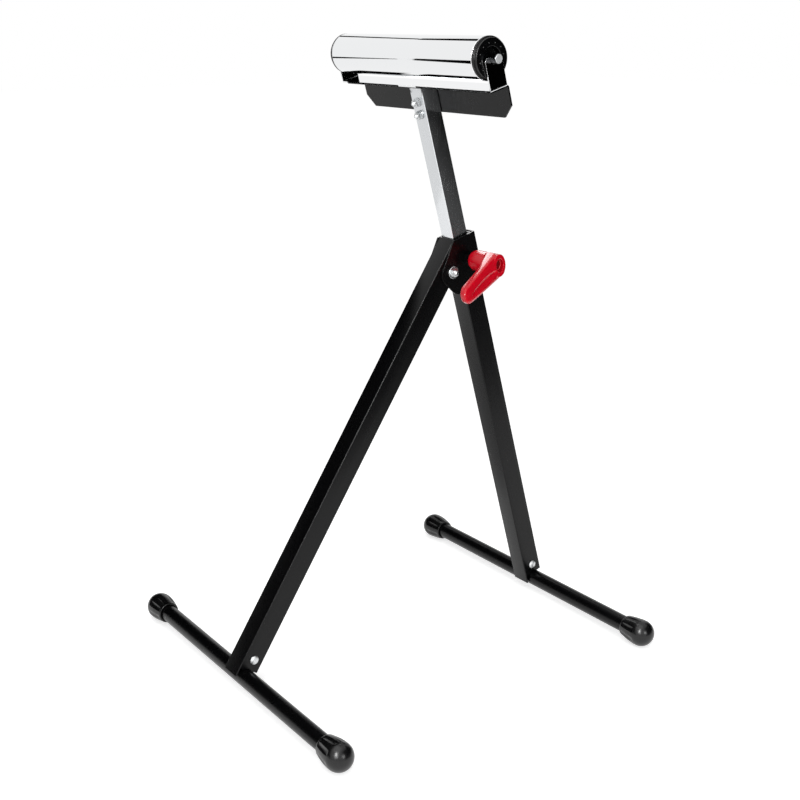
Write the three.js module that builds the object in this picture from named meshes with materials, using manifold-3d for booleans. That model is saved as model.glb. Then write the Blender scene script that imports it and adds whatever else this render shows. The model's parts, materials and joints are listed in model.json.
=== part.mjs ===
// Folding roller stand: two legs hinged in an A shape, a telescopic post and a free-running roller.
// Millimetres, +Z up. X runs along the roller, the front foot is at -Y, the floor is at Z = 0.
import * as THREE from 'three';
import { mergeVertices } from 'three/addons/utils/BufferGeometryUtils.js';
import Module from 'manifold-3d';

const wasm = await Module();
wasm.setup();

// Clearances
const fitGap = 0.3; // between pieces that seat on, or turn in, each other
const slideGap = 1.6; // round the post inside the rear leg, when it is centred
const boltPlay = 0.3; // round a bolt in its hole

// Post: a square tube that telescopes in the rear leg
const postSize = 25.4;
const postWall = 1.5;
const postCorner = 1;
const postLength = 520;
const plug = { flange: 3, stem: 20, wall: 3 }; // in the foot of the post
const postRise = 210.5; // from the top of the rear leg to the top of the post
const postAhead = slideGap - fitGap; // the post bears on the front wall of the rear leg

// Legs: square tubes, the rear one sized to take the post
const legWall = 1.2;
const legCorner = 1.5;
const legLength = 585; // rear leg, from the axis of its foot bar to its top
const rearLean = THREE.MathUtils.degToRad(16.1);
const legSize = postSize + 2 * (slideGap + legWall);
const legHalf = legSize / 2;
const legBore = legSize - 2 * legWall;

// Feet: round cross bars with fluted rubber caps
const footSpread = 525; // between the axes of the two bars
const footWidth = 524; // over the caps
const barDiameter = 24;
const barWall = 1.5;
const capDiameter = 38.5;
const capLength = 48;
const capMouthWall = 2.8;
const capGrip = 32; // length of bar inside a cap
const fluteCount = 8;
const fluteDepth = 1.5;
const fluteStart = 2;
const fluteLength = 27;
const saddleDrop = 2; // walls of a leg end this far below the top of the bar
const tongueDrop = 2.5; // the front wall goes on down past the axis of the bar
const footBoltRise = 26; // from the axis of the bar up to the foot bolt
const lugWall = 3;
const lugDepth = 18;
const lugRise = 37; // from the axis of the bar to the top of its lug
const barRadius = barDiameter / 2;
const barHeight = capDiameter / 2;

// Hub: a bent plate wrapped round the rear leg, carrying the hinge and the clamp
const hubPlate = 2.5;
const hubHeight = 76.5;
const hubBend = 3; // outer radius of its two bends
const hubSlack = 3; // between its back and the rear leg, past the fit gap
const hubNose = 23; // point of the cheeks in front of the hinge bolt, before it is rounded
const hubNoseRound = 15;
const hubToe = 2.6; // lower corner of the cheeks in front of the hinge bolt, before it is rounded
const hubToeRound = 14;
const pivotAhead = 29.9; // hinge bolt in front of the axis of the rear leg
const pivotDrop = 42; // hinge bolt below the top of the rear leg
const pivotOffset = 7.4; // hinge bolt behind the axis of the front leg
const clampDrop = 32.8; // clamp stud below the top of the rear leg
const hubHalf = legHalf + fitGap + hubPlate;

// Fasteners
const pivotBolt = { shank: 6, head: 10, headHeight: 4, nut: 10, nutHeight: 5 };
const pivotWasher = { outer: 17, height: 1.6 };
const footBolt = { shank: 6, head: 12, headHeight: 4, nut: 10, nutHeight: 5 };
const headBolt = { shank: 6, head: 11, headHeight: 3.6, nut: 10, nutHeight: 5 };
const headWasher = { outer: 12, height: 1.2 };
const boltTip = 3.5; // thread standing out of a nut
const pivotTip = 2; // the same on the hinge bolt
const headBoltTop = 18.5; // upper head bolt below the top of the post
const headBoltPitch = 16.8;

// Clamp: a lever on a threaded stud that presses a pad against the post
const studDiameter = 10;
const studGrip = 26; // stud inside the lever
const clampNutSize = 17;
const clampNutHeight = 8;
const padDiameter = 9;
const padThickness = 1.6;
const leverStandOff = 13.7; // from the hub plate to the lever
const leverHeight = 53.8; // along the stud
const leverRadius = 15.5; // round part on the stud
const leverReach = 80.5; // from the stud to the middle of the round tip
const leverTip = 12; // half width of the arm at its tip
const leverRoot = 18; // half width of the arm at the stud
const leverRootDepth = 27;
const leverTipDepth = 14.5;
const leverSweep = 45; // length of arm over which its depth falls
const leverTurn = THREE.MathUtils.degToRad(2.2); // arm below square to the leg
const leverRise = THREE.MathUtils.degToRad(21.5); // slope of its outer face, away from the leg
const leverRecess = { radius: 9, depth: 9 };

// Roller and its head
const rollerDiameter = 53;
const rollerWall = 2;
const rollerLength = 300;
const rollerAhead = 6.2; // roller axis in front of the axis of the rear leg
const rollerClear = 8.95; // between the roller and the yoke under it
const axleDiameter = 12;
const axleFlats = 10;
const axleStub = 10; // axle outside the yoke
const bearing = { outer: 28, width: 8, innerWall: 2.4, outerWall: 2.7, shield: 0.8 };
const endCap = { proud: 7, rim: 3.4, step: 1.9, plug: 14, shoulder: 3, recess: 7 };
const dimple = { count: 12, radius: 1.5, depth: 1.6, circle: 18.8 };
const earGap = 1; // between an end cap and its ear
const yokePlate = 2;
const yokeWidth = 27;
const yokeBend = 2.2;
const earRise = 3; // tips of an ear above the roller axis
const earCorner = 5;
const skirtPlate = 2.5;
const skirtInset = 5.4; // ends of the skirt inside the faces of the yoke
const skirtHeight = 42.2;
const skirtChamfer = 16;
const skirtBend = 0.8; // inner radius, small enough to clear the edge of the post
const ledgeInset = 5; // front edge of the ledge behind the edge of the yoke
const rollerRadius = rollerDiameter / 2;
const earInner = rollerLength / 2 + endCap.proud + earGap;
const earOuter = earInner + yokePlate;

// Facets on full rounds
const fine = 36;
const medium = 28;
const coarse = 16;
const bearingSides = 20;

function finish(colour, roughness, metalness) {
  return () => new THREE.MeshStandardMaterial({ color: colour, roughness, metalness });
}
const blackPaint = finish('#121213', 0.28, 0);
const chrome = finish('#d8dadc', 0.08, 1);
const zinc = finish('#c3c6c8', 0.3, 1);
const rubber = finish('#1b1b1c', 0.55, 0);
const blackPlastic = finish('#17171a', 0.4, 0);
const redPlastic = finish('#c8102e', 0.25, 0);
const brass = finish('#b28e45', 0.35, 1);
const bearingSteel = finish('#9da1a5', 0.25, 1);

// A closed geometry as a solid that can be joined and cut
function solid(geometry) {
  const bare = geometry.clone();
  bare.deleteAttribute('normal');
  bare.deleteAttribute('uv');
  const merged = mergeVertices(bare, 1e-4);
  const corners = merged.index.array;
  const kept = [];
  for (let i = 0; i < corners.length; i += 3) {
    const [a, b, c] = [corners[i], corners[i + 1], corners[i + 2]];
    if (a !== b && b !== c && c !== a) kept.push(a, b, c);
  }
  const vertProperties = Float32Array.from(merged.attributes.position.array);
  return new wasm.Manifold(new wasm.Mesh({ numProp: 3, vertProperties, triVerts: Uint32Array.from(kept) }));
}

function cut(body, ...tools) {
  return tools.reduce((left, tool) => left.subtract(tool), body);
}

function join(body, ...others) {
  return others.reduce((left, other) => left.add(other), body);
}

function piece(name, body, material) {
  const mesh = body.getMesh();
  const geometry = new THREE.BufferGeometry();
  geometry.setAttribute('position', new THREE.BufferAttribute(mesh.vertProperties, 3));
  geometry.setIndex(new THREE.BufferAttribute(mesh.triVerts, 1));
  geometry.computeVertexNormals();
  const part = new THREE.Mesh(geometry, material());
  part.name = name;
  return part;
}

// A box by its size and its middle
function block(size, middle = [0, 0, 0]) {
  return solid(new THREE.BoxGeometry(...size).translate(...middle));
}

// A round bar along an axis, from one end to the other
function rod(radius, from, to, axis, across = [0, 0], segments = medium) {
  const bar = new THREE.CylinderGeometry(radius, radius, to - from, segments);
  return solid(lay(bar.translate(0, (from + to) / 2, 0), axis, across));
}

// A hexagon bar along an axis, by its width across flats
function hexagon(flats, from, to, axis, across = [0, 0]) {
  return rod(flats / Math.sqrt(3), from, to, axis, across, 6);
}

// A profile of [radius, place] turned round an axis, listed with the outside going up
function turned(profile, axis, across = [0, 0], segments = medium) {
  const points = profile.map(([radius, place]) => new THREE.Vector2(radius, place));
  return solid(lay(new THREE.LatheGeometry(points, segments), axis, across));
}

// Lays a geometry made round Y along another axis, moved across by the other two coordinates
function lay(geometry, axis, [first, second]) {
  if (axis === 'x') return geometry.rotateZ(-Math.PI / 2).translate(0, first, second);
  if (axis === 'y') return geometry.translate(first, 0, second);
  return geometry.rotateX(Math.PI / 2).translate(first, second, 0);
}

// An outline pushed along an axis: x takes (y, z) outlines, y takes (x, z), z takes (x, y)
function prism(shape, from, to, axis, segments = 5) {
  const settings = { depth: to - from, bevelEnabled: false, curveSegments: segments };
  const bar = new THREE.ExtrudeGeometry(shape, settings);
  const turn = new THREE.Matrix4();
  const [X, Y, Z] = [new THREE.Vector3(1, 0, 0), new THREE.Vector3(0, 1, 0), new THREE.Vector3(0, 0, 1)];
  if (axis === 'x') turn.makeBasis(Y, Z, X).setPosition(from, 0, 0);
  if (axis === 'y') turn.makeBasis(X, Z, Y.negate()).setPosition(0, to, 0);
  if (axis === 'z') turn.setPosition(0, 0, from);
  return solid(bar.applyMatrix4(turn));
}

// A path of corners, each [a, b] or [a, b, radius] for a round corner
function outline(corners) {
  const shape = new THREE.Shape();
  const count = corners.length;
  corners.forEach(([a, b, radius = 0], i) => {
    const here = new THREE.Vector2(a, b);
    const back = new THREE.Vector2(...corners[(i + count - 1) % count]).sub(here);
    const on = new THREE.Vector2(...corners[(i + 1) % count]).sub(here);
    const half = Math.acos(back.dot(on) / (back.length() * on.length())) / 2;
    const run = radius / Math.tan(half);
    const enter = back.setLength(run).add(here);
    const leave = on.setLength(run).add(here);
    if (i === 0) shape.moveTo(enter.x, enter.y);
    else shape.lineTo(enter.x, enter.y);
    if (radius > 0) roundCorner(shape, enter, here, leave, radius);
  });
  return shape;
}

function roundCorner(shape, enter, corner, leave, radius) {
  const inward = enter.clone().add(leave).addScaledVector(corner, -2);
  const centre = inward.setLength(Math.hypot(radius, enter.distanceTo(corner))).add(corner);
  const start = Math.atan2(enter.y - centre.y, enter.x - centre.x);
  const end = Math.atan2(leave.y - centre.y, leave.x - centre.x);
  const turn = (leave.x - enter.x) * (corner.y - enter.y) - (leave.y - enter.y) * (corner.x - enter.x);
  shape.absarc(centre.x, centre.y, radius, start, end, turn > 0);
}

function rectangle(a0, a1, b0, b1, radius = 0) {
  return [[a0, b0, radius], [a1, b0, radius], [a1, b1, radius], [a0, b1, radius]];
}

function squareTube(size, wall, corner, from, to) {
  const half = size / 2;
  const inner = half - wall;
  const tube = outline(rectangle(-half, half, -half, half, corner));
  tube.holes.push(outline(rectangle(-inner, inner, -inner, inner, Math.max(corner - wall, wall / 4))));
  return prism(tube, from, to, 'z', 3);
}

// A bolt along an axis: the head is a hexagon or a dome beyond `seat`, the shank runs to `tip`
function bolt(size, seat, tip, axis, across, dome) {
  const out = Math.sign(seat - tip);
  const top = seat + out * size.headHeight;
  const [low, high] = [Math.min(seat, top), Math.max(seat, top)];
  const [from, to] = [Math.min(top - out, tip), Math.max(top - out, tip)];
  const head = dome ? domeHead(size, seat, top, axis, across) : hexagon(size.head, low, high, axis, across);
  return join(head, rod(size.shank / 2, from, to, axis, across, coarse));
}

function domeHead(size, seat, top, axis, across) {
  const radius = size.head / 2;
  const rise = top - seat;
  const profile = [[0, seat], [radius, seat]];
  const steps = 4;
  for (let i = 1; i <= steps; i += 1) {
    const angle = (i / steps) * Math.PI / 2;
    const left = i < steps ? radius * Math.cos(angle) : 0;
    profile.push([left, seat + rise * (0.35 + 0.65 * Math.sin(angle))]);
  }
  return turned(rise > 0 ? profile : profile.reverse(), axis, across, coarse);
}

function nut(flats, bore, from, to, axis, across) {
  const hole = rod(bore / 2 + boltPlay, from - 1, to + 1, axis, across, coarse);
  return cut(hexagon(flats, from, to, axis, across), hole);
}

function ring(outer, bore, from, to, axis, across = [0, 0], segments = medium) {
  const [r0, r1] = [bore / 2, outer / 2];
  return turned([[r0, from], [r1, from], [r1, to], [r0, to], [r0, from]], axis, across, segments);
}

// The lower end of a leg: its walls sit on the bar like a saddle, the front wall runs on down as a tongue
function shapeLegFoot(tube) {
  const past = legSize;
  const wallsEnd = barRadius - saddleDrop;
  const tongueInside = -legHalf + legWall;
  const behind = block([2 * past, past, 2 * past], [0, tongueInside + past / 2, wallsEnd - past]);
  const barHole = rod(barRadius + fitGap, -past, past, 'x', [0, 0]);
  const boltHole = rod(footBolt.shank / 2 + boltPlay, -past, past, 'x', [0, footBoltRise], coarse);
  return cut(tube, behind, barHole, boltHole);
}

// A fluted cap on the end of a bar, made along +X with its mouth at zero
function makeFootCap() {
  const round = capDiameter / 2;
  const mouth = barRadius + fitGap + capMouthWall;
  const straight = capLength - round;
  const rings = [];
  const swellSteps = 7;
  for (let i = 0; i <= swellSteps; i += 1) {
    const t = i / swellSteps;
    rings.push([mouth + (round - mouth) * Math.sin(t * Math.PI / 2), straight * t]);
  }
  const domeSteps = 5;
  for (let i = 1; i < domeSteps; i += 1) {
    const angle = (i / domeSteps) * Math.PI / 2;
    rings.push([round * Math.cos(angle), straight + round * Math.sin(angle)]);
  }
  const around = 4 * fluteCount;
  const points = [new THREE.Vector3(0, 0, 0)];
  rings.forEach(([radius, x]) => {
    const along = THREE.MathUtils.clamp((x - fluteStart) / fluteLength, 0, 1);
    const depth = fluteDepth * Math.sin(along * Math.PI);
    for (let j = 0; j < around; j += 1) {
      const angle = (j / around) * 2 * Math.PI;
      const dip = Math.max(0, Math.cos(angle * fluteCount));
      const r = radius - depth * dip;
      points.push(new THREE.Vector3(x, r * Math.cos(angle), r * Math.sin(angle)));
    }
  });
  points.push(new THREE.Vector3(capLength, 0, 0));
  const bulb = skin(points, rings.length, around);
  return cut(bulb, rod(barRadius + fitGap, -1, capGrip, 'x'));
}

// A closed skin over rings of points, with one point before the first ring and one after the last
function skin(points, ringCount, around) {
  const corners = [];
  const at = (i, j) => 1 + i * around + (j % around);
  const last = points.length - 1;
  for (let j = 0; j < around; j += 1) {
    corners.push(0, at(0, j + 1), at(0, j));
    corners.push(last, at(ringCount - 1, j), at(ringCount - 1, j + 1));
    for (let i = 0; i < ringCount - 1; i += 1) {
      corners.push(at(i, j), at(i, j + 1), at(i + 1, j + 1));
      corners.push(at(i, j), at(i + 1, j + 1), at(i + 1, j));
    }
  }
  const geometry = new THREE.BufferGeometry().setFromPoints(points);
  geometry.setIndex(corners);
  return solid(geometry);
}

// A foot: its bar, the lug that enters the leg, two caps and the bolt through leg and lug
function makeFoot(side) {
  const foot = [];
  const capMouth = footWidth / 2 - capLength;
  const barEnd = capMouth + capGrip - fitGap;
  const bar = ring(barDiameter, barDiameter - 2 * barWall, -barEnd, barEnd, 'x');
  foot.push(piece(`${side}_foot_bar`, bar, blackPaint));

  const lugHalf = legBore / 2 - fitGap;
  const lugFoot = barRadius / 2;
  const lugBody = block([2 * lugHalf, lugDepth, lugRise - lugFoot], [0, 0, (lugRise + lugFoot) / 2]);
  const lugFloor = barRadius + lugWall;
  const lugGap = block([2 * (lugHalf - lugWall), 2 * lugDepth, lugRise], [0, 0, lugFloor + lugRise / 2]);
  const lug = cut(
    lugBody,
    lugGap,
    rod(barRadius + fitGap, -legSize, legSize, 'x'),
    rod(footBolt.shank / 2 + boltPlay, -legSize, legSize, 'x', [0, footBoltRise], coarse),
  );
  foot.push(piece(`${side}_foot_lug`, lug, blackPaint));

  const seat = legHalf + fitGap;
  const across = [0, footBoltRise];
  const nutEnd = -seat - footBolt.nutHeight;
  foot.push(piece(`${side}_foot_bolt`, bolt(footBolt, seat, nutEnd - boltTip, 'x', across, true), zinc));
  foot.push(piece(`${side}_foot_nut`, nut(footBolt.nut, footBolt.shank, nutEnd, -seat, 'x', across), zinc));

  ['right', 'left'].forEach((end, i) => {
    const cap = piece(`${side}_cap_${end}`, makeFootCap(), rubber);
    cap.rotation.z = i * Math.PI;
    cap.position.x = i === 0 ? capMouth : -capMouth;
    foot.push(cap);
  });
  return foot;
}

// Rear frame, in the rear leg's own frame: origin on the axis of the bar, Z up along the leg
const pivot = { y: -pivotAhead, z: legLength - pivotDrop };
const clampHeight = legLength - clampDrop;

function makeRearLeg() {
  const tube = squareTube(legSize, legWall, legCorner, -tongueDrop, legLength);
  const studHole = rod(studDiameter / 2 + boltPlay, 0, legSize, 'x', [0, clampHeight], coarse);
  return piece('rear_leg', cut(shapeLegFoot(tube), studHole), blackPaint);
}

function makeHubBracket() {
  const back = hubHalf + hubSlack;
  const inside = legHalf + fitGap;
  const backInside = inside + hubSlack;
  const front = pivot.y - 2 * hubNose;
  const low = legLength - hubHeight;
  const bendInside = hubBend - hubPlate;
  const wrap = outline([
    [-hubHalf, front], [-inside, front], [-inside, backInside, bendInside], [inside, backInside, bendInside],
    [inside, front], [hubHalf, front], [hubHalf, back, hubBend], [-hubHalf, back, hubBend],
  ]);
  const cheek = outline([
    [back, low], [pivot.y - hubToe, low, hubToeRound], [pivot.y - hubNose, pivot.z, hubNoseRound],
    [-hubHalf, legLength], [back, legLength],
  ]);
  const plate = prism(wrap, low, legLength, 'z').intersect(prism(cheek, -hubHalf, hubHalf, 'x'));
  const pivotHole = rod(pivotBolt.shank / 2 + boltPlay, -legSize, legSize, 'x', [pivot.y, pivot.z], coarse);
  const studHole = rod(studDiameter / 2 + boltPlay, 0, legSize, 'x', [0, clampHeight], coarse);
  return piece('hub_bracket', cut(plate, pivotHole, studHole), blackPaint);
}

function makePivotSet() {
  const across = [pivot.y, pivot.z];
  const face = hubHalf + fitGap;
  const washerOut = face + pivotWasher.height;
  const seat = washerOut + fitGap;
  const nutEnd = seat + pivotBolt.nutHeight;
  const bore = pivotBolt.shank + 2 * boltPlay;
  return [
    piece('pivot_bolt', bolt(pivotBolt, -seat, nutEnd + pivotTip, 'x', across, false), zinc),
    piece('pivot_washer_left', ring(pivotWasher.outer, bore, -washerOut, -face, 'x', across, coarse), zinc),
    piece('pivot_washer_right', ring(pivotWasher.outer, bore, face, washerOut, 'x', across, coarse), zinc),
    piece('pivot_nut', nut(pivotBolt.nut, pivotBolt.shank, seat, nutEnd, 'x', across), zinc),
  ];
}

function makeClampNut() {
  const seat = hubHalf + fitGap;
  const hex = nut(clampNutSize, studDiameter, seat, seat + clampNutHeight, 'x', [0, clampHeight]);
  return piece('clamp_nut', hex, blackPaint);
}

// Clamp, along +X from the post, with the arm of the lever along -Y
function makeClamp() {
  const postFace = postSize / 2;
  const padIn = postFace + fitGap;
  const padOut = padIn + padThickness;
  const foot = hubHalf + leverStandOff;
  const studEnd = foot + studGrip;
  const pad = rod(padDiameter / 2, padIn, padOut, 'x', [0, 0], coarse);
  const stud = rod(studDiameter / 2, padOut + fitGap, studEnd, 'x', [0, 0], coarse);
  const lever = piece('clamp_lever', makeLever(foot, studEnd), redPlastic);
  lever.rotation.x = leverTurn;
  return [piece('clamp_pad', pad, brass), piece('clamp_stud', stud, zinc), lever];
}

function makeLever(foot, studEnd) {
  const top = foot + leverHeight;
  const edge = leverRadius / 6;
  const past = top + leverRadius;
  const hub = turned([
    [0, foot], [leverRadius - 2 * edge, foot], [leverRadius - edge, foot + edge / 2],
    [leverRadius - edge / 2, foot + 2 * edge], [leverRadius, past], [0, past],
  ], 'x');
  const reach = 4 * leverHeight;
  const beyond = new THREE.BoxGeometry(reach, reach, reach)
    .translate(reach / 2, 0, 0)
    .rotateZ(leverRise)
    .translate(top, 0, 0);
  const recess = rod(leverRecess.radius, top - leverRecess.depth, past, 'x');
  const studHole = rod(studDiameter / 2 + boltPlay, foot - 1, studEnd + fitGap, 'x', [0, 0], coarse);
  return cut(join(cut(hub, solid(beyond)), makeLeverArm(top)), recess, studHole);
}

// The arm tapers to a round tip; its outer face rises away from the leg and its inner face sweeps after it
function makeLeverArm(top) {
  const stations = 13;
  const around = 20;
  const corner = 0.52; // 1 gives an ellipse, less gives a rounder rectangle
  const end = leverReach + leverTip;
  const slope = Math.tan(leverRise);
  const depthAt = (s) => {
    const left = Math.max(0, 1 - s / leverSweep);
    return leverTipDepth + (leverRootDepth - leverTipDepth) * left ** 1.4;
  };
  const points = [new THREE.Vector3(top - leverRootDepth / 2, 0, 0)];
  for (let i = 0; i < stations; i += 1) {
    const s = end * Math.sin((i / (stations - 0.6)) * Math.PI / 2);
    const close = Math.sqrt(1 - (Math.max(0, s - leverReach) / leverTip) ** 2);
    const middle = top + s * slope - depthAt(s) / 2;
    const halfDeep = depthAt(s) / 2 * (0.4 + 0.6 * close);
    const halfWide = THREE.MathUtils.lerp(leverRoot, leverTip, Math.min(s / leverReach, 1)) * close;
    for (let j = 0; j < around; j += 1) {
      const angle = (j / around) * 2 * Math.PI;
      const x = middle + halfDeep * power(Math.cos(angle), corner);
      points.push(new THREE.Vector3(x, -s, halfWide * power(Math.sin(angle), corner)));
    }
  }
  points.push(new THREE.Vector3(top + end * slope - leverTipDepth / 2, -end, 0));
  return skin(points, stations, around);
}

function power(value, exponent) {
  return Math.sign(value) * Math.abs(value) ** exponent;
}

// Front leg, in its own frame: origin on the axis of its bar, Z up along the leg
const toPivot = new THREE.Vector2(
  footSpread + pivot.y * Math.cos(rearLean) - pivot.z * Math.sin(rearLean),
  pivot.y * Math.sin(rearLean) + pivot.z * Math.cos(rearLean),
);
const frontLean = Math.atan2(toPivot.x, toPivot.y) - Math.asin(pivotOffset / toPivot.length());
const openAngle = rearLean + frontLean;
const frontPivot = { y: pivotOffset, z: Math.sqrt(toPivot.lengthSq() - pivotOffset ** 2) };

// The top is mitred to bear on the front wall of the rear leg, which stops the legs opening further
function makeFrontLeg() {
  const top = frontPivot.z + legLength;
  const tube = squareTube(legSize, legWall, legCorner, -tongueDrop, top);
  const reach = 4 * legLength;
  const face = -legHalf - fitGap;
  const beyond = new THREE.BoxGeometry(reach, reach, reach)
    .translate(0, face + reach / 2 - pivot.y, 0)
    .rotateX(openAngle)
    .translate(0, frontPivot.y, frontPivot.z);
  const across = [frontPivot.y, frontPivot.z];
  const pivotHole = rod(pivotBolt.shank / 2 + boltPlay, -legSize, legSize, 'x', across, coarse);
  return piece('front_leg', cut(shapeLegFoot(tube), solid(beyond), pivotHole), blackPaint);
}

function makePivotSleeve() {
  const half = legBore / 2 - fitGap;
  const bore = pivotBolt.shank + 2 * boltPlay;
  const outer = 2 * (legBore / 2 - pivotOffset - fitGap);
  const across = [frontPivot.y, frontPivot.z];
  return piece('pivot_sleeve', ring(outer, bore, -half, half, 'x', across, coarse), zinc);
}

// Post and head, in the rear leg's frame
const postTop = legLength + postRise;
const ledgeBase = postTop + fitGap;
const yokeBase = ledgeBase + skirtPlate + fitGap;
const rollerAxis = { y: -rollerAhead, z: yokeBase + yokePlate + rollerClear + rollerRadius };
const skirtFront = postSize / 2 + fitGap - postAhead;
const skirtBack = skirtFront + skirtPlate;
const headBoltHeights = [postTop - headBoltTop, postTop - headBoltTop - headBoltPitch];

function headBoltHoles() {
  const reach = 2 * postSize;
  const radius = headBolt.shank / 2 + boltPlay;
  return headBoltHeights.map((z) => rod(radius, -reach, reach, 'y', [0, z], coarse));
}

function makePost() {
  const tube = squareTube(postSize, postWall, postCorner, postTop - postLength, postTop);
  return piece('post_tube', cut(tube.translate([0, -postAhead, 0]), ...headBoltHoles()), chrome);
}

function makePostPlug() {
  const low = postTop - postLength - fitGap;
  const flange = legBore / 2 - fitGap;
  const core = postSize / 2 - postWall - fitGap;
  const square = outline(rectangle(-flange, flange, -flange, flange, postCorner));
  const plate = prism(square, low - plug.flange, low, 'z', 3);
  const stem = block([2 * core, 2 * core, plug.stem], [0, -postAhead, low + plug.stem / 2 - plug.flange / 2]);
  const inside = 2 * (core - plug.wall);
  const hollow = block([inside, inside, plug.stem], [0, -postAhead, low + plug.stem / 2]);
  return piece('post_plug', cut(join(plate, stem), hollow), blackPlastic);
}

// The ledge lies under the yoke and bends down behind the post as a skirt with cut corners
function makeHeadPlate() {
  const half = earOuter - skirtInset;
  const top = ledgeBase + skirtPlate;
  const low = top - skirtHeight;
  const front = rollerAxis.y - yokeWidth / 2 + ledgeInset;
  const angle = outline([
    [front, ledgeBase], [skirtFront, ledgeBase, skirtBend], [skirtFront, low], [skirtBack, low],
    [skirtBack, top, skirtBend + skirtPlate], [front, top],
  ]);
  const face = outline([
    [-half, low + skirtChamfer], [-half + skirtChamfer, low], [half - skirtChamfer, low],
    [half, low + skirtChamfer], [half, top], [-half, top],
  ]);
  const plate = prism(angle, -half, half, 'x').intersect(prism(face, -2 * postSize, 2 * postSize, 'y'));
  return piece('head_plate', cut(plate, ...headBoltHoles()), blackPaint);
}

// A strap bent up at both ends, with an open slot for the flats of the axle in each ear
function makeYoke() {
  const floor = yokeBase + yokePlate;
  const tip = rollerAxis.z + earRise;
  const past = tip + yokeWidth;
  const bendInside = yokeBend - yokePlate;
  const strap = outline([
    [-earOuter, past], [-earOuter, yokeBase, yokeBend], [earOuter, yokeBase, yokeBend], [earOuter, past],
    [earInner, past], [earInner, floor, bendInside], [-earInner, floor, bendInside], [-earInner, past],
  ]);
  const [front, back] = [rollerAxis.y - yokeWidth / 2, rollerAxis.y + yokeWidth / 2];
  const slot = axleFlats / 2 + fitGap;
  const slotFloor = rollerAxis.z - axleDiameter / 2 - fitGap;
  const lip = earCorner / 4;
  const ear = outline([
    [front, yokeBase], [back, yokeBase], [back, tip, earCorner], [rollerAxis.y + slot, tip, lip],
    [rollerAxis.y + slot, slotFloor, slot / 3], [rollerAxis.y - slot, slotFloor, slot / 3],
    [rollerAxis.y - slot, tip, lip], [front, tip, earCorner],
  ]);
  const strapBody = prism(strap, front - 1, back + 1, 'y');
  return piece('yoke', strapBody.intersect(prism(ear, -earOuter - 1, earOuter + 1, 'x')), chrome);
}

function makeHeadBolts() {
  const seat = skirtBack + fitGap;
  const washerIn = -postSize / 2 - postAhead - fitGap;
  const washerOut = washerIn - headWasher.height;
  const nutIn = washerOut - fitGap;
  const nutOut = nutIn - headBolt.nutHeight;
  const bore = headBolt.shank + 2 * boltPlay;
  return headBoltHeights.flatMap((z, i) => {
    const level = i === 0 ? 'upper' : 'lower';
    const washer = ring(headWasher.outer, bore, washerOut, washerIn, 'y', [0, z], coarse);
    return [
      piece(`head_bolt_${level}`, bolt(headBolt, seat, nutOut - boltTip, 'y', [0, z], true), zinc),
      piece(`head_washer_${level}`, washer, zinc),
      piece(`head_nut_${level}`, nut(headBolt.nut, headBolt.shank, nutOut, nutIn, 'y', [0, z]), zinc),
    ];
  });
}

// Roller, round the X axis; the ends are mirrored by `side`
const bearingIn = rollerLength / 2 + endCap.proud - endCap.recess - bearing.width;
const bearingOut = bearingIn + bearing.width;

function makeAxle() {
  const end = earOuter + axleStub;
  const radius = axleDiameter / 2;
  const chamfer = axleDiameter / 12;
  const bar = turned([
    [0, -end], [radius - chamfer, -end], [radius, chamfer - end],
    [radius, end - chamfer], [radius - chamfer, end], [0, end],
  ], 'x');
  const flatFrom = earInner - fitGap;
  const flatLength = earOuter - earInner + 2 * fitGap;
  const slabs = [-1, 1].flatMap((side) => [-1, 1].map((face) => block(
    [flatLength, axleDiameter, 2 * axleDiameter],
    [side * (flatFrom + flatLength / 2), face * (axleFlats / 2 + axleDiameter / 2), 0],
  )));
  return piece('roller_axle', cut(bar, ...slabs), zinc);
}

function makeBearingRings(side) {
  const inner = axleDiameter / 2 + fitGap;
  const innerOut = inner + bearing.innerWall;
  const outer = bearing.outer / 2;
  const outerIn = outer - bearing.outerWall;
  const lip = innerOut + fitGap;
  const [from, to] = side > 0 ? [bearingIn, bearingOut] : [-bearingOut, -bearingIn];
  const race = [
    [lip, from], [outer, from], [outer, to], [lip, to],
    [lip, to - bearing.shield], [outerIn, to - bearing.shield],
    [outerIn, from + bearing.shield], [lip, from + bearing.shield], [lip, from],
  ];
  return {
    inner: ring(2 * innerOut, 2 * inner, from, to, 'x', [0, 0], bearingSides),
    outer: turned(race, 'x', [0, 0], bearingSides),
  };
}

function makeEndCap(side) {
  const end = rollerLength / 2;
  const face = end + endCap.proud;
  const seat = bearing.outer / 2 + fitGap;
  const shoulder = seat - endCap.shoulder;
  const plugRadius = rollerRadius - rollerWall - fitGap;
  const rim = end + endCap.rim;
  const stepped = rollerRadius - endCap.step;
  const soft = endCap.step / 2;
  const flange = end + fitGap;
  const profile = [
    [shoulder, end - endCap.plug], [plugRadius, end - endCap.plug], [plugRadius, flange],
    [rollerRadius, flange],
    [rollerRadius, rim - soft], [rollerRadius - soft, rim], [stepped, rim],
    [stepped, face - soft], [stepped - soft, face], [seat + soft, face], [seat, face - soft],
    [seat, bearingIn - fitGap], [shoulder, bearingIn - fitGap], [shoulder, end - endCap.plug],
  ];
  const placed = side > 0 ? profile : profile.map(([radius, place]) => [radius, -place]).reverse();
  const dimples = Array.from({ length: dimple.count }, (_, i) => {
    const angle = (i / dimple.count) * 2 * Math.PI;
    const across = [dimple.circle * Math.cos(angle), dimple.circle * Math.sin(angle)];
    const [from, to] = side > 0 ? [face - dimple.depth, face + 1] : [-face - 1, dimple.depth - face];
    return rod(dimple.radius, from, to, 'x', across, 6);
  });
  return cut(turned(placed, 'x', [0, 0], fine), ...dimples);
}

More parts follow.
